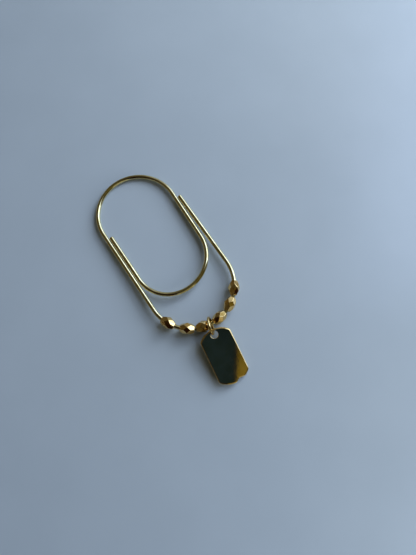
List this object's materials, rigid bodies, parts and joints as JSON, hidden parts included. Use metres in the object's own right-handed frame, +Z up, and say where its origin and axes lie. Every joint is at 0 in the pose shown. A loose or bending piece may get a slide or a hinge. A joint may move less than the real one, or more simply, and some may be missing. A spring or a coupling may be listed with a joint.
{
  "type": "paper clip",
  "caption": "Wide two-loop wire paper clip with faceted metal beads threaded on its lower bend and a small dog-tag charm hanging from a jump ring.",
  "frame": {"origin": "on the table, under the middle of the bounding box of the clip with its tag", "axes": "+Z up from the table, +Y along the clip from the tag and beads towards the top bend, +X to the right seen from above"},
  "size_m": [0.025, 0.0655, 0.0049],
  "materials": {
    "gold_wire": "polished",
    "gold_bead": "polished",
    "gold_ring": "polished",
    "gold_tag": "polished"
  },
  "bodies": {
    "clip_wire": {"clip_wire": "gold_wire"},
    "bead_1": {"bead_1": "gold_bead"},
    "bead_2": {"bead_2": "gold_bead"},
    "bead_3": {"bead_3": "gold_bead"},
    "bead_4": {"bead_4": "gold_bead"},
    "bead_5": {"bead_5": "gold_bead"},
    "bead_6": {"bead_6": "gold_bead"},
    "jump_ring": {"jump_ring": "gold_ring"},
    "tag": {"tag": "gold_tag"}
  },
  "joints": [
    {"name": "bead_1_slide_round_bend", "type": "hinge", "parent": "clip_wire", "child": "bead_1", "pos_m": [0.00006, -0.00477, 0.00144], "axis": [0, 0.0226, 0.9997], "range_deg": [-24, 5]},
    {"name": "bead_2_spin", "type": "hinge", "parent": "clip_wire", "child": "bead_2", "pos_m": [-0.00714, -0.01408, 0.00164], "axis": [-0.7908, 0.6119, -0.0138], "continuous": true},
    {"name": "bead_3_spin", "type": "hinge", "parent": "clip_wire", "child": "bead_3", "pos_m": [-0.00334, -0.01604, 0.00169], "axis": [-0.9573, 0.2889, -0.0065], "continuous": true},
    {"name": "bead_4_spin", "type": "hinge", "parent": "clip_wire", "child": "bead_4", "pos_m": [0.0015, -0.01645, 0.0017], "axis": [-0.9926, -0.1218, 0.0027], "continuous": true},
    {"name": "bead_5_spin", "type": "hinge", "parent": "clip_wire", "child": "bead_5", "pos_m": [0.00582, -0.01504, 0.00167], "axis": [-0.8724, -0.4887, 0.011], "continuous": true},
    {"name": "bead_6_slide_round_bend", "type": "hinge", "parent": "clip_wire", "child": "bead_6", "pos_m": [0.00006, -0.00477, 0.00144], "axis": [0, 0.0226, 0.9997], "range_deg": [-2, 34]},
    {"name": "ring_flip", "type": "hinge", "parent": "clip_wire", "child": "jump_ring", "pos_m": [-0.0016, -0.0165, 0.0017], "axis": [-0.9901, 0.14, -0.0032], "range_deg": [0, 120]},
    {"name": "tag_swing", "type": "hinge", "parent": "jump_ring", "child": "tag", "pos_m": [-0.00236, -0.01907, 0.00231], "axis": [0.0341, -0.1275, 0.9913], "range_deg": [-16, 10]}
  ]
}
